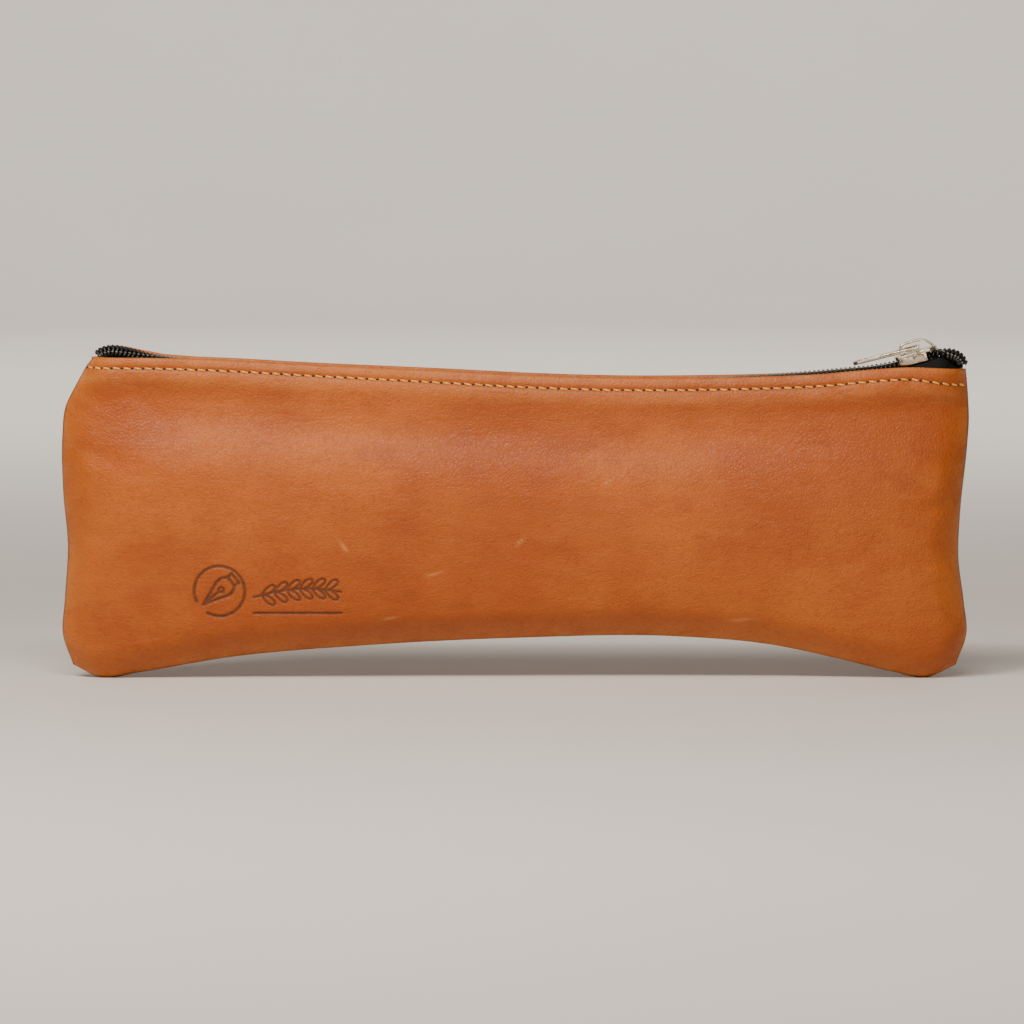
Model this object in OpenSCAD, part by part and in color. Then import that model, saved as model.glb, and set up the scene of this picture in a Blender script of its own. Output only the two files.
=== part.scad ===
// Slim zipped leather pouch for fountain pens, standing on the two lower corners of its bottom seam.
// X runs along the pouch, Y from front to back and Z up; the origin is on the ground under its centre.
// Front parts lie at negative Y, and each back part is the front part's mirror image.

/* [Leather] */
// Greatest half thickness of the filled pouch
belly = 13; // [11:0.5:15]
// Thickness of the leather
leather = 1.4; // [1.2:0.1:1.5]
// Half width of the open mouth, from the middle to the outside of the leather
mouth_half = 7.2; // [7.2:0.1:8]
// Half width of the folded edge at the side and bottom seams
edge_half = 2; // [1.8:0.1:2.2]
// Width of the seam allowance that is turned inwards
allowance = 6; // [4:0.5:7]

/* [Lining] */
// Thickness of the lining cloth
cloth = 0.5; // [0.4:0.1:0.6]
// Distance of the lining's seam from the leather's seam
lining_inset = 7.5; // [7.5:0.5:10]

/* [Stitching] */
// Distance from one stitch to the next
stitch_pitch = 2.65; // [2.4:0.05:3.2]
// Length of thread that shows in each stitch
stitch_length = 1.9; // [1.5:0.1:2.1]
// Radius of the thread
thread_r = 0.3; // [0.2:0.05:0.35]

/* [Zip] */
// Width of one row of coil
coil_w = 2.7; // [2.5:0.1:2.8]
// Thickness of the coil
coil_t = 1.8; // [1.7:0.05:1.8]
// Thickness of the zip tape
tape_t = 0.5; // [0.4:0.1:0.5]

/* [Slider] */
// Length of the slider body
slider_l = 10.8; // [10:0.1:11]
// Half width of the slider at its nose
nose_half = 4.4; // [4.3:0.1:4.5]
// Half width of the slider at its tail
tail_half = 3.45; // [3.4:0.05:3.5]
// Tilt of the slider where it is parked
slider_tilt = 17; // [16:0.5:18]
// Angle that the puller hangs below level
puller_droop = 14; // [13:0.5:15]
// Radius of the hole at the puller's free end
puller_hole_r = 1.1; // [0.9:0.1:1.2]

/* [Hidden] */

hair = 0.05;            // half of the gap between the front and the back half
columns = 40;           // grid of a leather panel along X
rows = 16;              // and down from the mouth to the bottom seam
lining_columns = 28;
lining_rows = 9;

// Outline of the leather as [x, z]. The side lists run down from the mouth to the middle of the
// rounded corner, and the bottom list runs from the left corner to the right one.
left_side = [[-105.8, 80.4], [-109.4, 74], [-112.5, 67.5], [-113.2, 61], [-113.1, 47],
             [-112, 33], [-112.8, 20], [-113.3, 10.5], [-110.8, 3.2]];
right_side = [[112.4, 77.4], [113, 70], [113.2, 65], [112.8, 58], [111.2, 42],
              [110.8, 30], [112.2, 19], [112.9, 11], [110.2, 3.2]];
bottom_edge = [[-110.8, 3.2], [-104, 0], [-94, 1.3], [-72, 5], [-38, 8], [0, 9.9], [40, 10.3],
               [64, 8.2], [82, 4.4], [94, 1.5], [103, 0], [110.2, 3.2]];
mouth_edge = [[-105.8, 80.4], [-92, 80.4], [-72, 79.8], [-54, 78.8], [-17, 77.1], [5, 76],
              [27, 75.4], [49, 75.5], [62, 75.8], [76, 76.4], [86, 77.3], [96, 78], [112.4, 77.4]];

// Line of the closed zip as [x, z]. It sags with the mouth and rises at both ends, where the side
// seams stand the tapes on edge.
zip_line = [[-103.8, 81.7], [-102.8, 82.7], [-100.8, 83.1], [-96.8, 82.5], [-92, 81], [-86, 79.3],
            [-78, 78], [-62, 76.2], [-40, 74.5], [-15, 73.2], [10, 72.8], [35, 73.4], [55, 74.4],
            [70, 75.3], [82, 76.4], [90, 77.2], [94.8, 78.1], [100, 79.7], [105.2, 81.3],
            [108, 81.9], [110.2, 81.5], [111.5, 80.5]];
// Roll of the coil and tape about the zip line, as [x, degrees]: flat in the middle, on edge at the ends
zip_roll = [[-106, 70], [-99, 64], [-93, 36], [-87, 4], [-83, 0],
            [105.6, 0], [107.4, 46], [109.2, 64], [112.5, 66]];
// Sideways distance from the middle of the zip to each row of coil, as [x, mm]: the rows part in the nose
zip_part = [[-106, 0.05], [100.6, 0.05], [103.4, 0.95], [105.6, 1.05], [108, 0.5], [112, 0.2]];

// Lift of the back panel's mouth edge over the front's, as [x, mm]: it arches over the zip's left end
back_lift = [[-104.3, 0], [-103, 1.8], [-101.4, 2.6], [-98.3, 2.4], [-93.6, 1.4], [-88, 0.4], [-80, 0]];

leather_colour = [0.72, 0.4, 0.18];
cloth_colour = [0.3, 0.27, 0.23];
tape_colour = [0.08, 0.08, 0.1];
coil_colour = [0.11, 0.12, 0.12];
thread_colour = [0.86, 0.6, 0.24];
metal_colour = [0.8, 0.77, 0.7];

// ---- curves ----

// Direction of a smooth curve through points p at point i
function tangent_at(p, i) =
    i <= 0 ? (p[1] - p[0]) / norm(p[1] - p[0])
    : i >= len(p) - 1 ? (p[i] - p[i - 1]) / norm(p[i] - p[i - 1])
    : let (before = norm(p[i] - p[i - 1]), after = norm(p[i + 1] - p[i]))
      ((p[i + 1] - p[i]) / after * before + (p[i] - p[i - 1]) / before * after) / (before + after);

// Point of that curve at t, counted in points of p
function on_curve(p, t) =
    let (i = min(floor(t), len(p) - 2), f = t - i, h = norm(p[i + 1] - p[i]))
    p[i] * (2 * f^3 - 3 * f^2 + 1) + tangent_at(p, i) * h * (f^3 - 2 * f^2 + f)
    + p[i + 1] * (3 * f^2 - 2 * f^3) + tangent_at(p, i + 1) * h * (f^3 - f^2);

function smooth_line(p, per) = [for (k = [0 : per * (len(p) - 1)]) on_curve(p, k / per)];

// Length along polyline p up to each of its points
function run_lengths(p) =
    [for (i = 0, s = 0; i < len(p); i = i + 1, s = i < len(p) ? s + norm(p[i] - p[i - 1]) : s) s];

// Points of a plane polyline at the given shares of its length
function at_shares(p, fractions) =
    let (s = run_lengths(p), total = s[len(s) - 1],
         xs = [for (i = [0 : len(p) - 1]) [s[i], p[i][0]]],
         zs = [for (i = [0 : len(p) - 1]) [s[i], p[i][1]]])
    [for (f = fractions) [lookup(f * total, xs), lookup(f * total, zs)]];

// Shares of a length, closer together towards both ends
function shares(n) = [for (k = [0 : n]) 0.4 * k / n + 0.3 * (1 - cos(180 * k / n))];

function reversed(p) = [for (i = [len(p) - 1 : -1 : 0]) p[i]];
function tail_of(p) = [for (i = [1 : len(p) - 1]) p[i]];
function direction(v) = v / norm(v);

mouth_line = smooth_line(mouth_edge, 5);
bottom_line = smooth_line(bottom_edge, 5);
function mouth_z(x) = lookup(x, mouth_line);

// ---- the leather's form ----

// The seam from the left end of the mouth, down, along the bottom and up to the right end
function seam(n, m) =
    let (down = at_shares(smooth_line(left_side, 6), shares(m)),
         along = at_shares(smooth_line(bottom_edge, 6), shares(n)),
         up = reversed(at_shares(smooth_line(right_side, 6), shares(m))))
    concat(down, tail_of(along), tail_of(up));

// The seam moved inwards by d. Its two ends stay on the mouth edge.
function inset_seam(n, m, d) =
    let (s = seam(n, m), last = len(s) - 1)
    [for (k = [0 : last])
        k == 0 ? [s[0][0] + d, mouth_z(s[0][0] + d)]
        : k == last ? [s[last][0] - d, mouth_z(s[last][0] - d)]
        : let (t = direction(s[k + 1] - s[k - 1])) s[k] + d * [-t[1], t[0]]];

// Plane grid [i][j] inside that seam, with i from left to right and j from the mouth down
function plane_grid(n, m, d) =
    let (s = inset_seam(n, m, d), us = shares(n), vs = shares(m),
         x0 = s[0][0], x1 = s[len(s) - 1][0],
         mouth = [for (u = us) let (x = x0 + (x1 - x0) * u) [x, mouth_z(x)]])
    [for (i = [0 : n]) [for (j = [0 : m])
        let (u = us[i], v = vs[j], l = s[j], r = s[len(s) - 1 - j], b = s[m + i], t = mouth[i])
        (1 - u) * l + u * r + (1 - v) * t + v * b
        - (1 - u) * (1 - v) * s[0] - u * (1 - v) * s[len(s) - 1]
        - (1 - u) * v * s[m] - u * v * s[m + n]]];

// Half thickness of the leather's outside: u runs from -1 at the left to 1, v from 0 at the mouth to 1
function half_thickness(u, v) =
    let (square = 4 + 18 * max(0, 1 - v / 0.15)^2,
         across = sqrt(max(0, 1 - abs(u)^square)),
         down = sqrt(max(0, 1 - v^5)),
         rise = mouth_half + (belly - mouth_half) * (1 - max(0, 1 - v / 0.5)^2))
    edge_half + (rise - edge_half) * across * down;

// Grid of points [x, -y, z] inside the seam moved in by d, with the half thickness less t. The mouth
// edge is lifted by the [x, mm] table lift.
function dome(n, m, d, t, lift) =
    let (g = plane_grid(n, m, d), us = shares(n), vs = shares(m),
         shrink_u = 1 - d / 112, shrink_v = 1 - d / 76)
    [for (i = [0 : n]) [for (j = [0 : m])
        let (u = (2 * us[i] - 1) * shrink_u, v = vs[j] * shrink_v, p = g[i][j])
        [p[0], t - half_thickness(u, v), p[1] + lookup(p[0], lift) * max(0, 1 - v / 0.14)^2]]];

// ---- closed solids from grids and rings ----

function quad(a, b, c, d) = [[a, b, c], [a, c, d]];
function turned(faces) = [for (f = faces) [f[2], f[1], f[0]]];
function flat_list(l) = [for (a = l) for (b = a) b];

// Triangles over a grid of points numbered from start, seen with i running right and j down
function grid_faces(n, m, start) =
    [for (i = [0 : n - 1]) for (j = [0 : m - 1])
        let (a = start + i * (m + 1) + j) each quad(a, a + m + 1, a + m + 2, a + 1)];

// Triangles around n + 1 rings of k points numbered from start
function tube_faces(n, k, start) =
    [for (i = [0 : n - 1]) for (j = [0 : k - 1])
        let (a = start + i * k + j, b = start + i * k + (j + 1) % k) each quad(a, a + k, b + k, b)];

// Solid between two grids of the same size. Grid a is seen from its own side with i running right, j down.
module slab(a, b) {
    n = len(a) - 1;
    m = len(a[0]) - 1;
    size = (n + 1) * (m + 1);
    function p(i, j) = i * (m + 1) + j;
    function q(i, j) = size + p(i, j);
    faces = concat(
        grid_faces(n, m, 0),
        turned(grid_faces(n, m, size)),
        [for (i = [0 : n - 1]) each quad(p(i + 1, 0), p(i, 0), q(i, 0), q(i + 1, 0))],
        [for (i = [0 : n - 1]) each quad(p(i, m), p(i + 1, m), q(i + 1, m), q(i, m))],
        [for (j = [0 : m - 1]) each quad(p(0, j), p(0, j + 1), q(0, j + 1), q(0, j))],
        [for (j = [0 : m - 1]) each quad(p(n, j + 1), p(n, j), q(n, j), q(n, j + 1))]
    );
    polyhedron(concat(flat_list(a), flat_list(b)), faces);
}

// Solid swept through rings of k points each
module swept(rings) {
    n = len(rings) - 1;
    k = len(rings[0]);
    ends = [[for (j = [0 : k - 1]) j], [for (j = [k - 1 : -1 : 0]) n * k + j]];
    polyhedron(flat_list(rings), concat(tube_faces(n, k, 0), ends));
}

// Hollow solid between outer and inner rings of k points each
module swept_tube(outer, inner) {
    n = len(outer) - 1;
    k = len(outer[0]);
    size = (n + 1) * k;
    function o(i, j) = i * k + j % k;
    function q(i, j) = size + o(i, j);
    faces = concat(
        tube_faces(n, k, 0),
        turned(tube_faces(n, k, size)),
        [for (j = [0 : k - 1]) each quad(o(0, j), o(0, j + 1), q(0, j + 1), q(0, j))],
        [for (j = [0 : k - 1]) each quad(o(n, j + 1), o(n, j), q(n, j), q(n, j + 1))]
    );
    polyhedron(concat(flat_list(outer), flat_list(inner)), faces);
}

// ---- leather, lining and their stitching ----

// Panel of the front: the domed face, folded at the seam and turned inwards as a flat allowance
module panel(lift) {
    n = columns;
    m = rows;
    outside = dome(n, m, 0, 0, lift);
    inside = dome(n, m, leather, leather, lift);
    fold = seam(n, m);
    turn = inset_seam(n, m, leather);
    narrow = inset_seam(n, m, leather + 0.3);
    wide = inset_seam(n, m, allowance);
    last = len(fold) - 1;
    taper = 5;          // the allowance is trimmed narrow over this many rows at each end of the mouth
    function trim(k) = let (f = min(1, min(k, last - k) / taper)) f * f * (3 - 2 * f);
    hem = [for (k = [0 : last]) narrow[k] + trim(k) * (wide[k] - narrow[k])];
    size = (n + 1) * (m + 1);
    bands = [
        for (k = [0 : last]) [fold[k][0], -hair, fold[k][1]],
        for (k = [0 : last]) [hem[k][0], -hair, hem[k][1]],
        for (k = [0 : last]) [hem[k][0], -hair - leather, hem[k][1]],
        for (k = [0 : last]) [turn[k][0], -hair - leather, turn[k][1]]
    ];
    function o(i, j) = i * (m + 1) + j;
    function q(i, j) = size + o(i, j);
    function edge(k) = k <= m ? o(0, k) : k <= m + n ? o(k - m, m) : o(n, last - k);
    function ring(r, k) =
        r == 0 ? edge(k) : r == 5 ? size + edge(k) : 2 * size + (r - 1) * (last + 1) + k;
    cap = [[0, 1, 4], [0, 4, 5], [1, 2, 4], [2, 3, 4]];
    faces = concat(
        grid_faces(n, m, 0),
        turned(grid_faces(n, m, size)),
        [for (i = [0 : n - 1]) each quad(o(i + 1, 0), o(i, 0), q(i, 0), q(i + 1, 0))],
        [for (r = [0 : 4]) for (k = [0 : last - 1])
            each quad(ring(r, k), ring(r, k + 1), ring(r + 1, k + 1), ring(r + 1, k))],
        [for (f = cap) [for (r = f) ring(r, 0)]],
        turned([for (f = cap) [for (r = f) ring(r, last)]])
    );
    color(leather_colour) polyhedron(concat(flat_list(outside), flat_list(inside), bands), faces);
}

module front_panel() {
    panel([[0, 0]]);
}

// Half of the lining bag: it hangs from the tape and closes on its own side and bottom seams
module front_lining() {
    n = lining_columns;
    m = lining_rows;
    gap = leather + cloth + tape_t + 0.5;
    flat = hair + cloth;
    slider_room = 4.2;
    face = dome(n, m, lining_inset, 0, [[0, 0]]);
    function closing(u, v) = sqrt(max(0, 1 - abs(u)^6)) * sqrt(max(0, 1 - v^7));
    function hung(t) = [for (i = [0 : n]) [for (j = [0 : m])
        let (p = face[i][j], u = 2 * shares(n)[i] - 1, v = shares(m)[j],
             top = min(mouth_z(p[0]), lookup(p[0], zip_fine)) - slider_room)
        [p[0], -flat - (-p[1] - gap - flat) * closing(u, v) + t, p[2] - (mouth_z(p[0]) - top) * (1 - v)]]];
    color(cloth_colour) slab(hung(0), hung(cloth));
}

// Straight length of thread from a to b
module thread(a, b, r) {
    d = b - a;
    translate(a)
        rotate([0, acos(d[2] / norm(d)), atan2(d[1], d[0])])
            cylinder(h = norm(d), r = r, $fn = 16);
}

// Stitches along a line of points in space, lying across the points' spacing
module stitches(line, r) {
    s = run_lengths(line);
    total = s[len(s) - 1];
    tables = [for (axis = [0 : 2]) [for (i = [0 : len(line) - 1]) [s[i], line[i][axis]]]];
    function at(d) = [lookup(d, tables[0]), lookup(d, tables[1]), lookup(d, tables[2])];
    count = floor(total / stitch_pitch);
    start = (total - (count - 1) * stitch_pitch) / 2;
    half = stitch_length / 2;
    for (k = [0 : count - 1])
        thread(at(start + k * stitch_pitch - half), at(start + k * stitch_pitch + half), r);
}

topstitch_v = 0.036;    // share of the panel's height between the mouth edge and the stitching
function panel_line(v) =
    let (g = plane_grid(columns, 1, 0), us = shares(columns))
    [for (i = [0 : columns])
        let (top = g[i][0], low = g[i][1])
        [top[0] + (low[0] - top[0]) * v, -half_thickness(2 * us[i] - 1, v), top[1] + (low[1] - top[1]) * v]];

module front_topstitch() {
    color(thread_colour) stitches(panel_line(topstitch_v), thread_r);
}

// The side and bottom seams' thread, on the inner face of the turned allowance
module front_seam_stitching() {
    inner = inset_seam(columns, rows, 2.4);
    line = [for (k = [1 : len(inner) - 2]) [inner[k][0], -hair - leather - 0.1, inner[k][1]]];
    color(thread_colour) stitches(line, thread_r - 0.05);
}

// ---- zip ----

zip_fine = smooth_line(zip_line, 3);
zip_count = len(zip_fine);

// Frame of the front row at station k: [place, outward along the tape, up from the coil]
function zip_frame(k) =
    let (c = zip_fine[k], t = direction(zip_fine[min(k + 1, zip_count - 1)] - zip_fine[max(k - 1, 0)]),
         roll = lookup(c[0], zip_roll), up = [-t[1], 0, t[0]], out = [0, -1, 0])
    [[c[0], -lookup(c[0], zip_part) - 1.5 * sin(roll), c[1]],
     cos(roll) * out - sin(roll) * up, cos(roll) * up + sin(roll) * out];

function zip_point(k, w, h) = let (f = zip_frame(k)) f[0] + w * f[1] + h * f[2];

// Oval ring of the front row: centre w out and h up, half sizes a and b, n points
function oval(k, w, h, a, b, n) =
    [for (i = [0 : n - 1]) zip_point(k, w + a * cos(360 * (i + 0.5) / n), h + b * sin(360 * (i + 0.5) / n))];
function ovals(w, h, a, b, n) = [for (k = [0 : zip_count - 1]) reversed(oval(k, w, h, a, b, n))];

coil_mid = 0;           // height of the coil's middle over the zip line
coil_wall = 0.6;
coil_stitch_r = 0.08;

module front_zip_coil() {
    color(coil_colour) swept_tube(
        ovals(coil_w / 2, coil_mid, coil_w / 2 / cos(22.5), coil_t / 2 / cos(22.5), 8),
        ovals(coil_w / 2, coil_mid, coil_w / 2 - coil_wall, coil_t / 2 - coil_wall, 8));
}

// Filler cord that runs inside the coil
module front_coil_cord() {
    color(tape_colour) swept(ovals(coil_w / 2, coil_mid, 0.6, 0.25, 6));
}

// Chain stitch that sews the coil down, lying along the top of it
module front_coil_stitching() {
    rest = coil_mid + coil_t / 2 + 0.02 + coil_stitch_r;
    color(coil_colour) swept(ovals(coil_w / 2, rest, 2 * coil_stitch_r, coil_stitch_r, 6));
}

tape_mid = -1.29;       // height of the tape's middle under the zip line
tape_clear = 4.65;      // the tape stays flat this far out, past the slider's edge

// Tape: flat under the coil, then over to the leather and down its inside, where it is sewn. It is
// trimmed at both ends, where the coil alone goes on.
module front_zip_tape() {
    edge_x0 = left_side[0][0];
    edge_x1 = right_side[0][0];
    clear = 0.5 + leather;
    falls = [1, 4, 7.5];
    stations = [for (k = [0 : zip_count - 1])
        if (zip_fine[k][0] > edge_x0 + 2.2 && zip_fine[k][0] < edge_x1 - 2.2) k];
    function depth(x, z) = max(0, mouth_z(x) - z) / (mouth_z(x) - lookup(x, bottom_line));
    function inner_half(x, z) =
        half_thickness(2 * (x - edge_x0) / (edge_x1 - edge_x0) - 1, depth(x, z)) - clear;
    function across(k, h) =
        let (c = zip_fine[k], x = c[0], low = min(c[1] + tape_mid, mouth_z(x) - 0.5),
             far = max(coil_w + 0.1, min(tape_clear, inner_half(x, low) - 0.3) - lookup(x, zip_part)))
        [zip_point(k, 0.25, tape_mid + h), zip_point(k, coil_w, tape_mid + h),
         zip_point(k, far, tape_mid + h),
         for (fall = falls) [x, -inner_half(x, low - fall) - h, low - fall]];
    up = [for (k = stations) across(k, tape_t / 2)];
    down = [for (k = stations) across(k, -tape_t / 2)];
    color(tape_colour) slab(up, down);
}

// ---- slider, in its own frame: X towards the nose, Z up from the coil ----

plate_t = 0.85;
top_plate = 1.2;        // underside of the upper plate
low_plate = -1.65;      // upper side of the lower plate
flange_low = -0.75;
flange_t = 0.6;
tail_x = -slider_l / 2 + 0.3;
nose_x = slider_l / 2 + 0.3;
slider_place = [100, 0, 79.7];

module in_slider() {
    translate(slider_place) rotate([0, -slider_tilt, 0]) children();
}

// Plan of a plate: narrow parallel tail, shoulders and a wide rounded nose
plate_corners = [[tail_x, tail_half - 0.8], [tail_x + 0.8, tail_half], [-0.4, tail_half], [1.6, nose_half],
                 [nose_x - 1.8, nose_half], [nose_x - 0.5, nose_half - 1.1], [nose_x, nose_half - 2.6]];
plate_plan = concat(plate_corners, [for (p = reversed(plate_corners)) [p[0], -p[1]]]);

module plate(z) {
    translate([0, 0, z]) linear_extrude(plate_t) polygon(plate_plan);
}

// Side wall that keeps the coil in, up to the mouth of the nose
module flange() {
    wall = [[tail_x + 0.6, tail_half], [-0.4, tail_half], [1.6, nose_half], [2.6, nose_half],
            [2.6, nose_half - flange_t], [1.8, nose_half - flange_t], [-0.2, tail_half - flange_t],
            [tail_x + 0.6, tail_half - flange_t]];
    translate([0, 0, flange_low]) linear_extrude(top_plate - flange_low + 0.2) polygon(wall);
}

// Wedge between the plates that parts the two rows of coil
module guide_post() {
    wedge = [[1.4, 0], [3.2, 0.75], [4.6, 0.75], [5, 0], [4.6, -0.75], [3.2, -0.75]];
    translate([0, 0, low_plate - 0.2]) linear_extrude(top_plate - low_plate + 0.4) polygon(wedge);
}

spring_x = -2.4;        // prong of the lock spring
module slider_body() {
    window = [0.8, 1.5, 3];
    color(metal_colour) in_slider() difference() {
        union() {
            plate(top_plate);
            plate(low_plate - plate_t);
            flange();
            mirror([0, 1, 0]) flange();
            guide_post();
        }
        translate([spring_x - window[0] / 2, -window[1] / 2, 0.5]) cube(window);
    }
}

// Upright strap in the slider's XZ plane with the given width
module strap(profile, width) {
    rotate([90, 0, 0]) translate([0, 0, -width / 2]) linear_extrude(width) polygon(profile);
}

crown_w = 2.6;
plate_top = top_plate + plate_t;
module slider_crown() {
    profile = [[-3.4, plate_top], [-3.4, 3.9], [-2.95, 4.5], [-2.2, 4.8],
               [1.6, 4.85], [3.2, 4.35], [4.6, 3.3], [5.5, plate_top],
               [4.85, plate_top], [4.1, 2.95], [2.9, 3.85], [1.5, 4.3],
               [-2, 4.25], [-2.5, 4.05], [-2.85, 3.6], [-2.85, plate_top]];
    color(metal_colour) in_slider() strap(profile, crown_w);
}

// Leaf under the crown whose prong reaches through the upper plate to the coil
module slider_lock_spring() {
    leaf = [[1.9, 3.3], [1.9, 3.55], [-2, 3.6], [-2.45, 3.5], [-2.6, 3.3], [-2.6, 1.2], [-2.25, 1.2],
            [-2.25, 3.2], [-1.9, 3.3]];
    color(metal_colour) in_slider() strap(leaf, 1);
}

pivot = [1.4, 0, 2.75]; // the puller's bar under the crown, in the slider's frame
bar_r = 0.45;
eye_l = 5.4;
eye_half = 1.65;
puller_half = 2.7;
puller_l = 16.8;
puller_t = 0.9;

// Puller: round bar, an eye that straddles the crown and a solid grip with a small hole
module puller() {
    rim = 0.95;
    shoulder = 2.4;
    hole_in = 2.4;      // from the free end to the middle of the hole
    grip = puller_half * 0.8;
    plan = [[0, puller_half], [0, eye_half], [-eye_l + 0.6, eye_half], [-eye_l, eye_half - 0.6],
            [-eye_l, -eye_half + 0.6], [-eye_l + 0.6, -eye_half], [0, -eye_half], [0, -puller_half],
            [-eye_l - rim, -puller_half], [-eye_l - shoulder, -grip], [-puller_l + 1, -grip],
            [-puller_l, -grip + 1], [-puller_l, grip - 1], [-puller_l + 1, grip],
            [-eye_l - shoulder, grip], [-eye_l - rim, puller_half]];
    color(metal_colour) in_slider() translate(pivot) rotate([0, slider_tilt - puller_droop, 0])
        difference() {
            union() {
                translate([0, 0, -puller_t / 2]) linear_extrude(puller_t) polygon(plan);
                rotate([90, 0, 0])
                    translate([0, 0, -puller_half])
                        cylinder(h = 2 * puller_half, r = bar_r, $fn = 32);
            }
            translate([hole_in - puller_l, 0, -puller_t])
                cylinder(h = 2 * puller_t, r = puller_hole_r, $fn = 48);
        }
}

// ---- back half ----

module at_back() {
    mirror([0, 1, 0]) children();
}

module back_panel() {
    at_back() panel(back_lift);
}

front_panel();
front_lining();
front_zip_tape();
front_zip_coil();
front_coil_cord();
front_coil_stitching();
front_topstitch();
front_seam_stitching();
back_panel();
at_back() front_lining();  // back_lining
at_back() front_zip_tape();  // back_zip_tape
at_back() front_zip_coil();  // back_zip_coil
at_back() front_coil_cord();  // back_coil_cord
at_back() front_coil_stitching();  // back_coil_stitching
at_back() front_topstitch();  // back_topstitch
at_back() front_seam_stitching();  // back_seam_stitching
slider_body();
slider_crown();
slider_lock_spring();
puller();
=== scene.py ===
import math

import bpy
import numpy as np
from mathutils import Matrix, Vector, noise
from mathutils.bvhtree import BVHTree


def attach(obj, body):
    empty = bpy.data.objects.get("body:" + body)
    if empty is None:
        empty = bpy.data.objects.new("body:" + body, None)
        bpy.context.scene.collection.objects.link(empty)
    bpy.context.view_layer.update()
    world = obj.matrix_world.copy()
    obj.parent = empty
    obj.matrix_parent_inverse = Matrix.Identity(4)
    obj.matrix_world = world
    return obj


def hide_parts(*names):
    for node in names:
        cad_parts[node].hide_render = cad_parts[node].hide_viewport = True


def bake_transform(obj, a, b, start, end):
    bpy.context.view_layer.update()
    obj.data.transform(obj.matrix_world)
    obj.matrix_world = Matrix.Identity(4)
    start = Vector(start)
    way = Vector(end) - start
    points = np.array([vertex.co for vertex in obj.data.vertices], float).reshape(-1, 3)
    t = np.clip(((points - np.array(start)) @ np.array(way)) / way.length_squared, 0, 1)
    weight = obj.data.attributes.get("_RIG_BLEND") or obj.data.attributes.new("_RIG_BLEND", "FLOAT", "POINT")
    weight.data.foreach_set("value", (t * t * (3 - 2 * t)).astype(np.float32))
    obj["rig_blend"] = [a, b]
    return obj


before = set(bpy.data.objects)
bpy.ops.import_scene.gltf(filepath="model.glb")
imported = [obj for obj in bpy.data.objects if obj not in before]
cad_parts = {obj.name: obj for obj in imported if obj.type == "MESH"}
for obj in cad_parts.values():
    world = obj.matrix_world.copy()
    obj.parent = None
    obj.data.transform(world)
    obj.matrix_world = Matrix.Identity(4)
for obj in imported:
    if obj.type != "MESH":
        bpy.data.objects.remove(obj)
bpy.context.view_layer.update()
MM = 0.001

# ---------------------------------------------------------------- sizes, in mm, as in the CAD

LEATHER = 1.4  # thickness of the hide
BELLY = 13.0  # half thickness at the belly, at the mouth and at the seams
MOUTH_HALF = 7.2
EDGE_HALF = 2.0
CASE_LONG = 226
CASE_TALL = 76  # about the height of a half
MIDDLE_TALL = 70  # the same where it is least
TURN_IN = 2  # how far the edges of a half turn inwards
LINING_INSET = 7.5
STITCH_PITCH = 2.65
COIL_PITCH = 1.12
COIL_START = 0.6  # where the first loop lies along the zip
COIL_OUT = 1.15  # from the zip's middle to the middle of a row
TAPE_LEVEL = -1.29  # the tape's height under the coil
SEAM_ROLL = 8.5  # how far from a seam the leather still rounds
THIN = 0.04  # least half thickness, where both halves meet
TILT = math.radians(17)  # slope of the slider, and of the puller that hangs from it
DROOP = math.radians(14)
SLIDER_AT = Vector((100, 0, 79.7))
PIVOT = Vector((1.4, 0, 2.75))  # the puller's bar, in the slider's own frame

LEFT_SIDE = [(-105.8, 80.4), (-109.4, 74), (-112.5, 67.5), (-113.2, 61), (-113.1, 47),
             (-112, 33), (-112.8, 20), (-113.3, 10.5), (-110.8, 3.2)]
RIGHT_SIDE = [(112.4, 77.4), (113, 70), (113.2, 65), (112.8, 58), (111.2, 42),
              (110.8, 30), (112.2, 19), (112.9, 11), (110.2, 3.2)]
BOTTOM_EDGE = [(-110.8, 3.2), (-104, 0), (-94, 1.3), (-72, 5), (-38, 8), (0, 9.9), (40, 10.3),
               (64, 8.2), (82, 4.4), (94, 1.5), (103, 0), (110.2, 3.2)]
MOUTH_EDGE = [(-105.8, 80.4), (-92, 80.4), (-72, 79.8), (-54, 78.8), (-17, 77.1), (5, 76),
              (27, 75.4), (49, 75.5), (62, 75.8), (76, 76.4), (86, 77.3), (96, 78), (112.4, 77.4)]
ZIP_LINE = [(-105, 80.8), (-104.2, 81.8), (-102.8, 82.5), (-100.8, 82.8), (-96.8, 82.2), (-92, 80.8),
            (-86, 79.3), (-78, 78), (-62, 76.2), (-40, 74.5), (-15, 73.2), (10, 72.8), (35, 73.4),
            (55, 74.4), (70, 75.3), (82, 76.4), (90, 77.2), (94.8, 78.1), (100, 79.7), (105.2, 81.3),
            (108, 81.9), (110.2, 81.5), (111.5, 80.5), (112.2, 79.2), (112.3, 77.4)]
# at each x: how far the rows roll over in degrees, how far they stand apart, how far the back lip rises
ZIP_ROLL = [(-106, 70), (-99, 64), (-93, 36), (-87, 4), (-83, 0),
            (105.6, 0), (107.4, 46), (109.2, 64), (112.5, 66)]
ZIP_PART = [(-106, 0.05), (100.6, 0.05), (103.4, 0.95), (105.6, 1.05), (108, 0.5), (112, 0.2)]
BACK_LIFT = [(-104.3, 0), (-103, 1.8), (-101.4, 2.6), (-98.3, 2.4), (-93.6, 1.4), (-88, 0.4), (-80, 0)]


# ---------------------------------------------------------------- curves and the pouch's form

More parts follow.
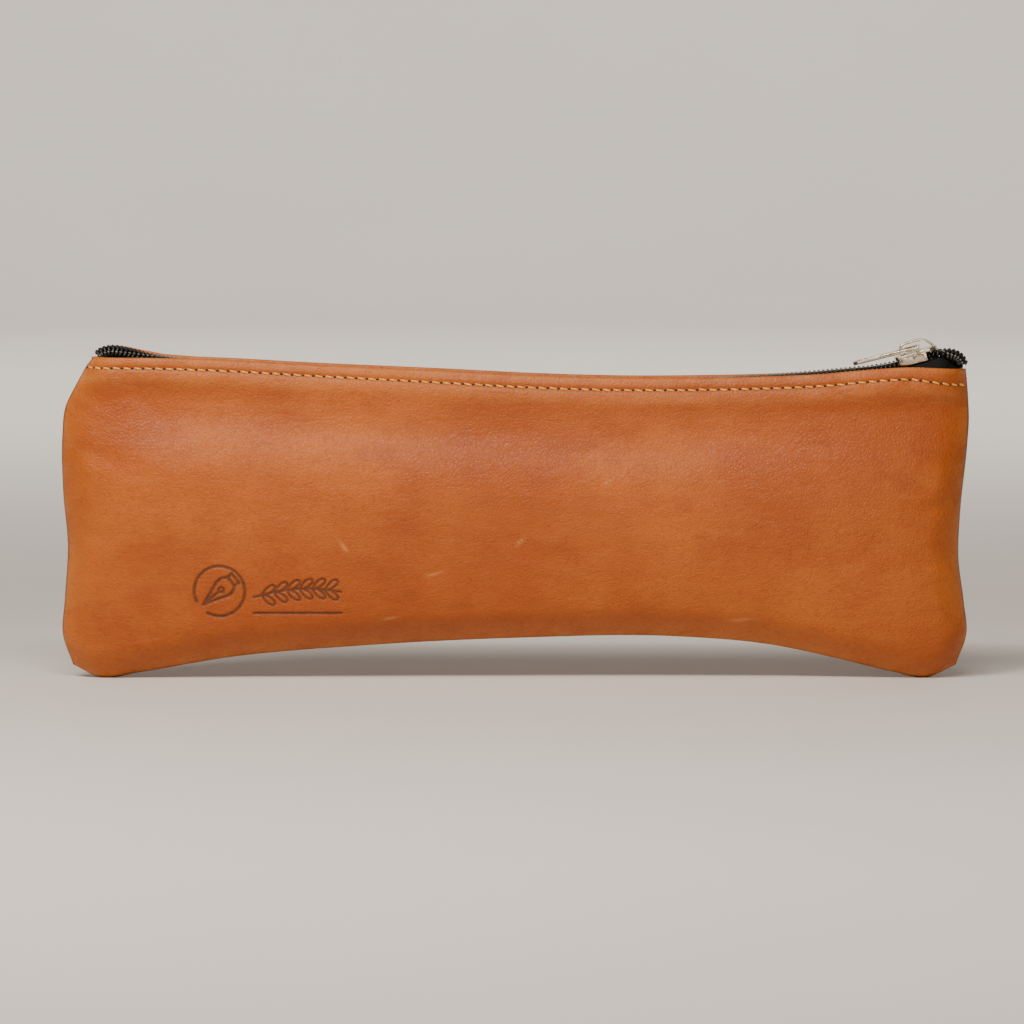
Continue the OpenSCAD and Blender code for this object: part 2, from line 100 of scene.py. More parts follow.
def smooth_line(points, per=12):
    """Smooth curve through points, with per samples between each two."""
    p = np.array(points, float)
    gap = np.linalg.norm(np.diff(p, axis=0), axis=1)
    slope = np.diff(p, axis=0) / gap[:, None]
    tan = np.vstack([slope[:1], (slope[1:] * gap[:-1, None] + slope[:-1] * gap[1:, None])
                     / (gap[:-1] + gap[1:])[:, None], slope[-1:]])
    out = []
    for k in range(len(p) - 1):
        f = np.linspace(0, 1, per, endpoint=False)[:, None]
        out.append(p[k] * (2 * f**3 - 3 * f**2 + 1) + tan[k] * gap[k] * (f**3 - 2 * f**2 + f)
                   + p[k + 1] * (3 * f**2 - 2 * f**3) + tan[k + 1] * gap[k] * (f**3 - f**2))
    return np.vstack(out + [p[-1:]])


def run_along(line):
    """Distance along a line at each of its points."""
    return np.concatenate([[0], np.cumsum(np.linalg.norm(np.diff(line, axis=0), axis=1))])


def at_run(line, run, s):
    """Points of a line at the distances s along it."""
    return np.stack([np.interp(s, run, line[:, k]) for k in range(line.shape[1])], -1)


def at_shares(line, shares):
    """Points at the given shares of a line's length."""
    run = run_along(line)
    return at_run(line, run, np.asarray(shares) * run[-1])


left_line = smooth_line(LEFT_SIDE)
right_line = smooth_line(RIGHT_SIDE)
bottom_line = smooth_line(BOTTOM_EDGE)
mouth_line = smooth_line(MOUTH_EDGE)
X0, X1 = LEFT_SIDE[0][0], RIGHT_SIDE[0][0]


def mouth_z(x):
    return np.interp(x, mouth_line[:, 0], mouth_line[:, 1])


def ease(t):
    """0 below 0, 1 above 1, and a smooth step between."""
    t = np.clip(t, 0, 1)
    return t * t * (3 - 2 * t)


def plane_grid(us, vs):
    """[x, z] at each u across and v down, inside the four edges."""
    left, right, low = at_shares(left_line, vs), at_shares(right_line, vs), at_shares(bottom_line, us)
    x = X0 + (X1 - X0) * us
    top = np.stack([x, mouth_z(x)], -1)
    u, v = us[:, None, None], vs[None, :, None]
    return ((1 - u) * left[None] + u * right[None] + (1 - v) * top[:, None] + v * low[:, None]
            - (1 - v) * ((1 - u) * mouth_line[0] + u * mouth_line[-1])
            - v * ((1 - u) * bottom_line[0] + u * bottom_line[-1]))


def half_thickness(u, v):
    """Half thickness of the pouch, with u from -1 to 1 across and v from 0 at the mouth to 1."""
    square = 4 + 18 * np.clip(1 - v / 0.15, 0, None) ** 2
    across = np.sqrt(np.clip(1 - np.abs(u) ** square, 0, None))
    down = np.sqrt(np.clip(1 - v**5, 0, None))
    rise = MOUTH_HALF + (BELLY - MOUTH_HALF) * (1 - np.clip(1 - v / 0.5, 0, None) ** 2)
    return EDGE_HALF + (rise - EDGE_HALF) * across * down


def stitch_drop(x):
    """How far the topstitching lies below the mouth edge."""
    return 2.65 + 0.35 * ease((x + 60) / 60) + ease((x - 96) / 14)


def valley(x, drop):
    """Depth of the shallow valley under the hem, over which the belly turns up to the light."""
    deep = 2.6 * (1 - 0.5 * ease((x - 45) / 45)) * (1 - 0.6 * ease((-80 - x) / 25))
    return deep * np.exp(-((drop - 14) / 9) ** 2)


def soft_noise(x, z, size, seed, stretch=1.0):
    """Smooth noise from -1 to 1 with lumps of the given size in mm."""
    flat = [noise.noise((a / size / stretch + seed * 17.3, b / size, seed * 5.1))
            for a, b in zip(x.ravel(), z.ravel())]
    return np.array(flat).reshape(x.shape)


def fold(distance, radius):
    """0 at a seam, rounding up to 1 at radius from it."""
    return np.sqrt(np.clip(1 - (1 - np.clip(distance / radius, 0, 1)) ** 2, 0, 1))


def distance_to(x, z, path):
    """Distance from each point to a polyline of [x, z], and the nearest place's share of its length."""
    best, along = np.full(x.shape, 1e9), np.zeros(x.shape)
    for k in range(len(path) - 1):
        a, b = np.array(path[k]), np.array(path[k + 1])
        d = b - a
        t = np.clip(((x - a[0]) * d[0] + (z - a[1]) * d[1]) / max(d @ d, 1e-9), 0, 1)
        r = np.hypot(x - a[0] - t * d[0], z - a[1] - t * d[1])
        along = np.where(r < best, (k + t) / (len(path) - 1), along)
        best = np.minimum(best, r)
    return best, along


# ---------------------------------------------------------------- meshes

def grid_faces(n, m, start=0, flip=False):
    """Quads of an n by m grid whose verts are numbered from start."""
    i, j = np.meshgrid(np.arange(n), np.arange(m), indexing="ij")
    a = start + i * (m + 1) + j
    q = np.stack([a, a + m + 1, a + m + 2, a + 1], -1).reshape(-1, 4)
    return q[:, ::-1] if flip else q


def ring_faces(rows, sides, start=0, flip=False):
    """Quads between rows of closed rings, each with the given number of sides."""
    k, j = np.meshgrid(np.arange(rows - 1), np.arange(sides), indexing="ij")
    a, b = start + k * sides + j, start + k * sides + (j + 1) % sides
    quads = (a, a + sides, b + sides, b) if flip else (a, b, b + sides, a + sides)
    return np.stack(quads, -1).reshape(-1, 4).tolist()


def mesh_object(name, verts, faces, material, **values):
    """Smooth object from verts in mm, with values stored at its verts."""
    mesh = bpy.data.meshes.new(name)
    mesh.from_pydata((np.asarray(verts) * MM).tolist(), [], [list(map(int, f)) for f in faces])
    mesh.validate()
    mesh.polygons.foreach_set("use_smooth", [True] * len(mesh.polygons))
    for key, value in values.items():
        attribute = mesh.attributes.new(key, "FLOAT", "POINT")
        attribute.data.foreach_set("value", np.asarray(value, np.float32).ravel())
    mesh.materials.append(material)
    obj = bpy.data.objects.new(name, mesh)
    bpy.context.scene.collection.objects.link(obj)
    return obj


def tubes(paths, refs, radii, sides):
    """Verts and faces of capped tubes along paths [count, places, 3], with refs roughly across each."""
    count, places, _ = paths.shape
    tan = np.gradient(paths, axis=1)
    tan /= np.linalg.norm(tan, axis=-1, keepdims=True)
    side = np.cross(tan, np.broadcast_to(refs, paths.shape))
    side /= np.linalg.norm(side, axis=-1, keepdims=True)
    up = np.cross(side, tan)
    angle = np.arange(sides) * 2 * math.pi / sides
    ring = np.cos(angle)[:, None] * side[:, :, None] + np.sin(angle)[:, None] * up[:, :, None]
    verts = paths[:, :, None] + np.broadcast_to(radii, (count, places, sides))[..., None] * ring
    faces = []
    for c in range(count):
        base = c * places * sides
        faces += ring_faces(places, sides, base)
        faces.append([base + j for j in range(sides - 1, -1, -1)])
        faces.append([base + (places - 1) * sides + j for j in range(sides)])
    return verts.reshape(-1, 3), faces


def join(name, parts, material):
    """One object from (verts, faces) parts."""
    verts, faces, start = [], [], 0
    for v, f in parts:
        verts.append(np.asarray(v))
        faces += [[start + i for i in face] for face in f]
        start += len(v)
    return mesh_object(name, np.vstack(verts), faces, material)


def on_side(side, verts, faces):
    """The front's mesh as it is, or the same mesh mirrored to the back."""
    if side == "front":
        return verts, faces
    return np.asarray(verts) * [1, -1, 1], [list(f)[::-1] for f in faces]


def place(obj, node, body):
    """Stands obj for a CAD node. A front piece bends open with the mouth, and its ends stay closed."""
    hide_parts(node)
    if body != "front_half":
        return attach(obj, body)
    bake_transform(obj, "back_half", "front_half", start=(0, 0, 0.004), end=(0, 0, 0.074))
    data = obj.data.attributes["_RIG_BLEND"].data
    w = np.zeros(len(data), np.float32)
    data.foreach_get("value", w)
    x = np.array([v.co.x for v in obj.data.vertices]) / MM
    # shut at the left up to where the slider stops, widest at the middle and shut at the right end
    w *= ease((x + 88) / 90) * (1 - np.clip(np.abs(x) / 112, 0, 1) ** 3)
    data.foreach_set("value", w.astype(np.float32))
    return obj


def add_sewn(side, name, node, slot, material, verts, faces):
    """Piece of one half, given as the front's mesh, which stands for the half's own CAD node."""
    obj = mesh_object(side + "_" + name, *on_side(side, verts, faces), material)
    return place(obj, side + "_" + node, side + "_half")


# ---------------------------------------------------------------- materials

def nodes_of(name):
    """New material with its node tree and its shader."""
    mat = bpy.data.materials.new(name)
    mat.use_nodes = True
    tree = mat.node_tree
    return mat, tree, tree.nodes["Principled BSDF"]


class Graph:
    """Short calls for building a material's nodes."""

    def __init__(self, tree):
        self.tree = tree
        self.at = tree.nodes.new("ShaderNodeTexCoord").outputs["Object"]

    def node(self, kind, **values):
        n = self.tree.nodes.new("ShaderNode" + kind)
        for key, value in values.items():
            setattr(n, key, value)
        return n

    def link(self, value, socket):
        if isinstance(value, bpy.types.NodeSocket):
            self.tree.links.new(value, socket)
        else:
            socket.default_value = value

    def math(self, operation, a, b=0.0):
        n = self.node("Math", operation=operation)
        self.link(a, n.inputs[0])
        self.link(b, n.inputs[1])
        return n.outputs[0]

    def stretch(self, scale):
        n = self.node("Mapping")
        self.link(self.at, n.inputs["Vector"])
        n.inputs["Scale"].default_value = scale
        return n.outputs[0]

    def noise(self, scale, detail=3.0, rough=0.55, vector=None):
        n = self.node("TexNoise")
        self.link(vector or self.at, n.inputs["Vector"])
        n.inputs["Scale"].default_value = scale
        n.inputs["Detail"].default_value = detail
        n.inputs["Roughness"].default_value = rough
        return n.outputs["Fac"]

    def cells(self, scale, feature="DISTANCE_TO_EDGE", vector=None):
        n = self.node("TexVoronoi", feature=feature)
        self.link(vector or self.at, n.inputs["Vector"])
        n.inputs["Scale"].default_value = scale
        return n.outputs["Distance"]

    def ramp(self, value, low, high, start=0.0, end=1.0):
        n = self.node("MapRange", interpolation_type="SMOOTHSTEP")
        self.link(value, n.inputs["Value"])
        for key, v in (("From Min", low), ("From Max", high), ("To Min", start), ("To Max", end)):
            n.inputs[key].default_value = v
        return n.outputs[0]

    def value(self, name):
        return self.node("Attribute", attribute_name=name).outputs["Fac"]

    def mix(self, amount, a, b):
        n = self.node("Mix", data_type="RGBA")
        self.link(amount, n.inputs[0])
        self.link(a, n.inputs[6])
        self.link(b, n.inputs[7])
        return n.outputs[2]

    def bump(self, height, depth, strength=1.0, normal=None):
        n = self.node("Bump")
        self.link(height, n.inputs["Height"])
        n.inputs["Distance"].default_value = depth
        n.inputs["Strength"].default_value = strength
        if normal is not None:
            self.link(normal, n.inputs["Normal"])
        return n.outputs[0]


def leather_material():
    """Waxed pull-up leather: fine grain, cloudy colour, paler where worn and darker in the mark."""
    mat, tree, shader = nodes_of("tan_leather")
    g = Graph(tree)
    cloud = g.noise(22, 4, 0.6)
    patch = g.noise(70, 3, 0.6, g.stretch((0.8, 1, 1.4)))
    fine = g.noise(900, 2, 0.6)
    colour = g.mix(g.ramp(cloud, 0.36, 0.66), (0.325, 0.06, 0.002, 1), (0.42, 0.095, 0.006, 1))
    colour = g.mix(g.ramp(patch, 0.5, 0.75, 0, 0.45), colour, (0.25, 0.04, 0.002, 1))
    colour = g.mix(g.ramp(fine, 0.45, 0.8, 0, 0.3), colour, (0.2, 0.034, 0.002, 1))
    wear = g.math("MULTIPLY", g.value("wear"), g.ramp(g.noise(160, 4, 0.65), 0.3, 0.62, 0.25, 1.0))
    colour = g.mix(wear, colour, (0.52, 0.17, 0.03, 1))
    streak = g.noise(120, 5, 0.7, g.stretch((0.5, 1, 2.2)))
    colour = g.mix(g.ramp(streak, 0.58, 0.8, 0, 0.28), colour, (0.5, 0.155, 0.024, 1))
    colour = g.mix(g.value("scuff"), colour, (0.6, 0.27, 0.08, 1))
    pore_field = g.cells(1050, "F1")
    pore_patch = g.ramp(g.noise(45, 2), 0.5, 0.7, 0, 0.75)
    pores = g.math("MULTIPLY", g.ramp(pore_field, 0.0, 0.28, 1, 0), pore_patch)
    colour = g.mix(pores, colour, (0.16, 0.045, 0.01, 1))
    colour = g.mix(g.value("mark"), colour, (0.075, 0.026, 0.009, 1))
    tree.links.new(colour, shader.inputs["Base Color"])
    warp = g.node("VectorMath", operation="ADD")
    wobble = g.node("TexNoise")
    wobble.inputs["Scale"].default_value = 260
    g.link(g.at, wobble.inputs["Vector"])
    small = g.node("VectorMath", operation="SCALE")
    small.inputs["Scale"].default_value = 0.0012
    tree.links.new(wobble.outputs["Color"], small.inputs[0])
    g.link(g.at, warp.inputs[0])
    tree.links.new(small.outputs[0], warp.inputs[1])
    grain = g.ramp(g.cells(1100, vector=warp.outputs[0]), 0.0, 0.2)
    coarse = g.ramp(g.cells(430, vector=warp.outputs[0]), 0.0, 0.14)
    height = g.math("ADD", g.math("MULTIPLY", grain, 0.5), g.math("MULTIPLY", coarse, 0.3))
    height = g.math("ADD", height, g.math("MULTIPLY", g.noise(1600, 2), 0.35))
    height = g.math("SUBTRACT", height, g.math("MULTIPLY", pores, 0.6))
    calm = g.bump(g.noise(150, 5, 0.65, g.stretch((0.6, 1, 1.6))), 0.0008, 0.45)
    tree.links.new(g.bump(height, 0.00012, 0.8, calm), shader.inputs["Normal"])
    rough = g.math("ADD", g.ramp(cloud, 0.3, 0.7, 0.4, 0.5), g.ramp(fine, 0.3, 0.8, 0, 0.12))
    tree.links.new(rough, shader.inputs["Roughness"])
    shader.inputs["Specular IOR Level"].default_value = 0.29
    shader.inputs["Coat Weight"].default_value = 0.08
    shader.inputs["Coat Roughness"].default_value = 0.36
    return mat


def cloth_material(name, dark, light, pitch, rough=0.85, twill=False):
    """Woven yarns: two crossing sets of ribs with a little fuzz."""
    mat, tree, shader = nodes_of(name)
    g = Graph(tree)
    split = g.node("SeparateXYZ")
    g.link(g.at, split.inputs[0])
    across = split.outputs["X"]
    down = g.math("ADD", split.outputs["Z"], split.outputs["Y"])
    if twill:
        down = g.math("ADD", down, g.math("MULTIPLY", g.math("PINGPONG", across, pitch * 6), 0.8))
    turn = 2 * math.pi / pitch
    warp = g.math("SINE", g.math("MULTIPLY", across, turn))
    weft = g.math("SINE", g.math("MULTIPLY", down, turn))
    weave = g.math("MULTIPLY", warp, weft)
    fuzz = g.noise(2600, 3, 0.7)
    height = g.math("ADD", g.math("MULTIPLY", weave, 0.5), fuzz)
    tone = g.ramp(height, -0.1, 1.1)
    slub = g.ramp(g.noise(300, 3, 0.6, g.stretch((0.2, 1, 1))), 0.3, 0.8, 0, 0.5)
    tree.links.new(g.mix(slub, g.mix(tone, dark, light), dark), shader.inputs["Base Color"])
    tree.links.new(g.bump(height, 0.00006, 0.9), shader.inputs["Normal"])
    shader.inputs["Roughness"].default_value = rough
    shader.inputs["Specular IOR Level"].default_value = 0.2
    return mat


def thread_material(name, dark, light):
    """Spun thread: fine fibres along it, a little soiled."""
    mat, tree, shader = nodes_of(name)
    g = Graph(tree)
    fibre = g.noise(5200, 2, 0.6, g.stretch((0.35, 1, 1)))
    soil = g.noise(180, 3)
    colour = g.mix(g.ramp(fibre, 0.3, 0.7), dark, light)
    colour = g.mix(g.ramp(soil, 0.5, 0.75, 0, 0.35), colour, dark)
    tree.links.new(colour, shader.inputs["Base Color"])
    tree.links.new(g.bump(fibre, 0.00004, 0.8), shader.inputs["Normal"])
    shader.inputs["Roughness"].default_value = 0.5
    shader.inputs["Sheen Weight"].default_value = 0.2
    return mat


def nylon_material():
    """Black nylon filament with a dull shine."""
    mat, tree, shader = nodes_of("zip_coil")
    g = Graph(tree)
    mottle = g.noise(900, 3, 0.6)
    tree.links.new(g.mix(g.ramp(mottle, 0.3, 0.8), (0.003, 0.003, 0.003, 1), (0.011, 0.01, 0.009, 1)),
                   shader.inputs["Base Color"])
    tree.links.new(g.ramp(mottle, 0.2, 0.8, 0.32, 0.48), shader.inputs["Roughness"])
    shader.inputs["Specular IOR Level"].default_value = 0.3
    tree.links.new(g.bump(g.noise(3000, 2), 0.00002, 0.5), shader.inputs["Normal"])
    return mat


def nickel_material():
    """Bright nickel plate with faint brushing, small scratches and darker, warmer patches of painted
    reflection and shade.
    """
    mat, tree, shader = nodes_of("nickel")
    g = Graph(tree)
    cloud = g.noise(420, 3, 0.6)
    brush = g.noise(900, 3, 0.7, g.stretch((0.12, 1, 1.6)))
    scratch = g.ramp(g.noise(700, 4, 0.8, g.stretch((1, 1, 0.15))), 0.62, 0.72)
    # the dark brown patches are painted reflection and shade, standing in for dark surroundings and leather
    # mirrored in the plate
    colour = g.mix(g.ramp(cloud, 0.35, 0.7), (0.6, 0.52, 0.4, 1), (0.34, 0.27, 0.19, 1))
    colour = g.mix(g.math("MULTIPLY", scratch, 0.35), colour, (0.3, 0.25, 0.19, 1))
    tree.links.new(colour, shader.inputs["Base Color"])
    tree.links.new(g.math("ADD", g.ramp(brush, 0.3, 0.8, 0.14, 0.26), g.math("MULTIPLY", scratch, 0.15)),
                   shader.inputs["Roughness"])
    tree.links.new(g.bump(g.math("ADD", brush, scratch), 0.00002, 0.35), shader.inputs["Normal"])
    shader.inputs["Metallic"].default_value = 1.0
    return mat


def plain_material(name, low, high, rough):
    """Nearly even colour with slow clouds in it."""
    mat, tree, shader = nodes_of(name)
    g = Graph(tree)
    tree.links.new(g.mix(g.noise(6, 2), low, high), shader.inputs["Base Color"])
    shader.inputs["Roughness"].default_value = rough
    return mat


leather = leather_material()
flesh = cloth_material("leather_flesh_side", (0.3, 0.13, 0.05, 1), (0.45, 0.24, 0.12, 1), 0.0004, 0.95)
lining_cloth = cloth_material("lining_cloth", (0.045, 0.038, 0.03, 1), (0.12, 0.1, 0.078, 1), 0.00055)
tape_cloth = cloth_material("zip_tape", (0.002, 0.002, 0.002, 1), (0.009, 0.008, 0.008, 1), 0.0006,
                            twill=True)
nylon = nylon_material()
yellow = thread_material("yellow_thread", (0.5, 0.2, 0.015, 1), (0.92, 0.47, 0.06, 1))
grey = thread_material("zip_stitching", (0.06, 0.055, 0.04, 1), (0.3, 0.27, 0.19, 1))
nickel = nickel_material()
# dark colour of the needle holes: painted shade
hole = plain_material("needle_hole_shade", (0.02, 0.007, 0.003, 1), (0.035, 0.012, 0.005, 1), 0.8)


# ---------------------------------------------------------------- leather

# Mark pressed into the front: a nib in a ring, a leafy sprig and a rule, drawn in mm
MARK_AT = (-73.6, 22.5)


def mark_lines():
    """Polylines of the mark as [x, z], each with its half width."""
    half = smooth_line([(-5.2, 0), (-3, 0.75), (-0.6, 1.65), (1.2, 2.25), (2.6, 2.1), (3.9, 1.35)], 6)
    outline = np.vstack([half, half[-2:0:-1] * [1, -1], half[:1]])
    vent = [(0.55 + 0.62 * math.cos(a), 0.62 * math.sin(a)) for a in np.linspace(0, 2 * math.pi, 17)]
    shank = np.array([(3.9, 1.35), (5.2, 1.5), (5.2, -1.5), (3.9, -1.35)])
    turn = math.radians(40)
    spin = np.array([[math.cos(turn), math.sin(turn)], [-math.sin(turn), math.cos(turn)]])
    lines = [(outline, 0.3), (shank, 0.28), (np.array([(-4.8, 0), (0, 0)]), 0.2), (np.array(vent), 0.24)]
    placed = [(line @ spin + MARK_AT, w) for line, w in lines]
    ring = [(MARK_AT[0] + 6.3 * math.cos(a), MARK_AT[1] + 6.3 * math.sin(a))
            for a in np.linspace(math.radians(-118), math.radians(205), 61)]
    placed.append((np.array(ring), 0.3))
    stem = smooth_line([(-65, 21), (-58, 22.6), (-51, 23.2), (-43.4, 22.4)], 10)
    placed.append((stem, 0.2))
    for k in range(6):
        root = at_shares(stem, [0.1 + 0.145 * k])[0]
        for way in (1, -1):
            lean = math.radians(38) * way
            leaf = []
            for a in np.linspace(0, 2 * math.pi, 19):
                along, out = 1.9 * (1 - math.cos(a)), 0.72 * math.sin(a) * (1 - 0.3 * math.cos(a))
                leaf.append((root[0] + along * math.cos(lean) - out * math.sin(lean),
                             root[1] + along * math.sin(lean) + out * math.cos(lean)))
            placed.append((np.array(leaf), 0.19))
    placed.append((np.array([(-65, 17), (-43.4, 17)]), 0.22))
    return placed


# Creases that run in from the seams and down from the mouth: from, to, depth and width
CREASES = [((88, 73), (97, 62), -0.4, 1.6), ((80, 73.5), (86, 65), -0.25, 1.4),
           ((98, 74), (106, 64), -0.35, 1.5), ((-98, 76), (-88, 66), -0.3, 2.2),
           ((-108, 58), (-92, 52), -0.4, 2.4), ((-109, 36), (-96, 37), -0.35, 2.2),
           ((108, 44), (95, 41), -0.4, 2.2), ((107, 30), (94, 27), -0.3, 2),
           ((-70, 8), (-62, 15), -0.3, 2), ((60, 11), (52, 19), -0.3, 2.2), ((20, 12), (26, 21), -0.25, 2)]
# Pale scuffs: place, length, width and lean
SCUFFS = [((56, 15.2), 3, 0.3, 0.1), ((-42.6, 33.7), 1.6, 0.5, -0.9), ((1.1, 35), 1.5, 0.35, 0.8),
          ((-31.4, 15.7), 1.7, 0.3, 0.2), ((23, 50), 1.3, 0.25, 0.5), ((-20, 27), 2, 0.25, 0.3)]


def slack_of(x, z, drop, seam_gap, seed):
    """Broad slack of the leather, smaller waves, and puckers where the seam pulls."""
    slack = 0.75 * soft_noise(x, z, 62, seed, 1.6) + 0.4 * soft_noise(x, z, 26, seed + 1, 1.5)
    small = 0.14 * soft_noise(x, z, 9, seed + 2, 1.2) + 0.05 * soft_noise(x, z, 3.6, seed + 3)
    pucker = 0.45 * soft_noise(x, z, 6.5, seed + 5) * np.exp(-seam_gap / 5)
    return (slack * ease(seam_gap / 22) * ease((drop - 3) / 16) + small * ease(seam_gap / 4)
            + pucker * ease(seam_gap / 1.2))


def creases_of(x, z, way):
    """Depth of the creases at each place, with way -1 for the creases seen from the other side."""
    depths = np.zeros(x.shape)
    for a, b, depth, wide in CREASES:
        d, along = distance_to(x, z, [(way * a[0], a[1]), (way * b[0], b[1])])
        depths += depth * np.exp(-(d / wide) ** 2) * (1 - 0.7 * along)
    return depths


def mark_of(x, z):
    """How far the mark is pressed in at each place, from 0 to 1."""
    mark = np.zeros(x.shape)
    for line, w in mark_lines():
        d, _ = distance_to(x, z, line)
        mark = np.maximum(mark, 1 - ease((d - w * 0.7) / 0.34))
    return mark


def scuffs_of(x, z):
    """How scuffed the leather is at each place, up to 0.5."""
    scuff = np.zeros(x.shape)
    for at, long, wide, lean in SCUFFS:
        dx, dz = x - at[0], z - at[1]
        a = (dx * math.cos(lean) + dz * math.sin(lean)) / long
        b = (dz * math.cos(lean) - dx * math.sin(lean)) / wide
        scuff = np.maximum(scuff, 0.5 * np.exp(-(a * a + b * b)))
    return scuff


def rolled_rim(skin):
    """Rows that lie before the skin's first row: the mouth edge rolls over and runs down inside."""
    roll = [(0.7 * (1 - math.cos(a)), 0.62 * math.sin(a)) for a in np.linspace(math.pi, 0, 9)[:-1]]
    rim = []
    for inward, lift in [(LEATHER, -k) for k in (9, 6, 3, 1)] + roll:
        row = skin[:, :1].copy()
        row[..., 1] = np.minimum(row[..., 1] + inward, -THIN)
        row[..., 2] += lift
        rim.append(row)
    return np.concatenate(rim, 1)


def flesh_sheet():
    """Rough inner side, a coarse sheet behind the skin, as [across, down, xyz]."""
    us, vs = np.linspace(0.01, 0.99, 90), np.linspace(0.03, 0.985, 34)
    g = plane_grid(us, vs)
    x, z = g[..., 0], g[..., 1]
    t = half_thickness(2 * us[:, None] - 1, vs[None]) - valley(x, mouth_z(x) - z)
    side_gap, low_gap = np.minimum(us, 1 - us)[:, None] * CASE_LONG, (1 - vs)[None] * MIDDLE_TALL
    t = t * fold(side_gap, SEAM_ROLL) * fold(low_gap, SEAM_ROLL)
    return np.stack([x, -np.maximum(t - LEATHER, THIN), z], -1)


def stops(*stretches):
    """Shares from 0 to 1 at which a grid's lines lie, from (start, end, count) stretches."""
    return np.unique(np.concatenate([np.linspace(*stretch) for stretch in stretches]))


def leather_half(marked):
    """One half at negative Y: verts, faces, values at each vert, and how many faces are skin."""
    if marked:
        us = stops((0, 0.13, 44), (0.13, 0.325, 176), (0.325, 1, 210))
        vs = stops((0, 0.07, 20), (0.07, 0.65, 66), (0.65, 0.91, 76), (0.91, 1, 16))
    else:
        us = stops((0, 0.04, 14), (0.04, 0.96, 210), (0.96, 1, 14))
        vs = stops((0, 0.07, 20), (0.07, 0.93, 76), (0.93, 1, 14))
    g = plane_grid(us, vs)
    x, z = g[..., 0], g[..., 1]
    v = vs[None, :]
    side_gap = np.minimum(us, 1 - us)[:, None] * CASE_LONG
    low_gap = (1 - v) * (mouth_z(x[:, :1]) - z[:, -1:])
    seam_gap = np.minimum(side_gap, low_gap)
    drop = mouth_z(np.clip(x, X0, X1)) - z
    t = half_thickness(2 * us[:, None] - 1, v) + slack_of(x, z, drop, seam_gap, 1 if marked else 4)
    t = t + creases_of(x, z, 1 if marked else -1)
    # hem: a pressed line under the stitches and fuller leather on both sides of it
    groove = drop - stitch_drop(x)
    t = t - 0.34 * np.exp(-(groove / 0.62) ** 2)
    t = t + 0.22 * np.exp(-((groove - 2.4) / 1.7) ** 2) * ease(side_gap / 8)
    mark = np.zeros(x.shape)
    if marked:
        mark = mark_of(x, z)
        t = t - 0.3 * mark
        mark = mark * (0.82 + 0.18 * soft_noise(x, z, 1.5, 9))
    soft = fold(side_gap, SEAM_ROLL) * fold(low_gap, SEAM_ROLL)
    t = np.maximum(soft * (t - valley(x, drop)), THIN)
    scuff = scuffs_of(x, z)
    wear = 0.75 * np.exp(-seam_gap / 2.4) + 0.5 * np.exp(-drop / 1.2)
    wear = np.clip(wear + 0.35 * np.exp(-((groove - 2.2) / 1.6) ** 2), 0, 0.9)
    z = z - 0.62 * np.clip(1 - v / 0.03, 0, 1)
    if not marked:
        z = z + np.interp(x, *zip(*BACK_LIFT)) * np.clip(1 - v / 0.14, 0, 1) ** 2
    skin = np.stack([x, -t, z], -1)
    rim = rolled_rim(skin)
    skin = np.concatenate([rim, skin], 1)
    # the side and bottom edges turn inwards and meet
    skin = np.concatenate([skin[:1] + [TURN_IN, 2 * THIN, 0], skin, skin[-1:] + [-TURN_IN, 2 * THIN, 0]])
    skin = np.concatenate([skin, skin[:, -1:] + [0, 2 * THIN, TURN_IN]], 1)
    inner = flesh_sheet()

    def at_verts(field, on_rim=0.0):
        """The field at every vert, with on_rim on the rim and 0 on the flesh side."""
        field = np.concatenate([np.full((len(us), rim.shape[1]), on_rim), field], 1)
        field = np.pad(field, ((1, 1), (0, 1)), "edge")
        return np.concatenate([field.ravel(), np.zeros(inner[..., 0].size)])

    verts = np.vstack([skin.reshape(-1, 3), inner.reshape(-1, 3)])
    faces = grid_faces(skin.shape[0] - 1, skin.shape[1] - 1).tolist()
    skin_faces = len(faces)
    faces += grid_faces(inner.shape[0] - 1, inner.shape[1] - 1, skin[..., 0].size, True).tolist()
    values = {"wear": at_verts(wear, 0.45), "mark": at_verts(mark), "scuff": at_verts(scuff)}
    return verts, faces, values, skin_faces


def add_leather(side):
    """Leather of one half, with its rough side as a second material."""
    verts, faces, values, skin_faces = leather_half(side == "front")
    skins[side] = BVHTree.FromPolygons(verts.tolist(), faces[:skin_faces])
    obj = mesh_object(side + "_leather", *on_side(side, verts, faces), leather, **values)
    obj.data.materials.append(flesh)
    index = np.zeros(len(obj.data.polygons), np.int32)
    index[skin_faces:] = 1
    obj.data.polygons.foreach_set("material_index", index)
    place(obj, side + "_panel", side + "_half")


skins = {}
add_leather("front")
add_leather("back")


# ---------------------------------------------------------------- stitches

def hem_line(side):
    """The topstitching's line on the skin, at negative Y, as [x, y, z] every 0.1 mm or so."""
    x = np.linspace(X0 - 1.1, X1 - 0.1, 2200)
    z = mouth_z(x) - stitch_drop(x)
    hits = [skins[side].ray_cast((a, -30, b), (0, 1, 0))[0] for a, b in zip(x, z)]
    y = np.array([h.y if h else np.nan for h in hits])
    return np.stack([x, y, z], -1)[~np.isnan(y)]


def add_needle_hole_shades(side, places):
    """Small dark dimples between the stitches: painted shade of the needle holes."""
    sides = 10
    rim = np.arange(sides) * 2 * math.pi / sides
    verts, faces = [], []
    for x, y, z in places:
        base = len(verts)
        verts += [(x + 0.38 * math.cos(a), y - 0.13, z + 0.26 * math.sin(a)) for a in rim]
        verts.append((x, y - 0.02, z))
        faces += [[base + j, base + (j + 1) % sides, base + sides] for j in range(sides)]
    add_sewn(side, "needle_hole_shades", "topstitch", "tan_leather", hole, verts, faces)


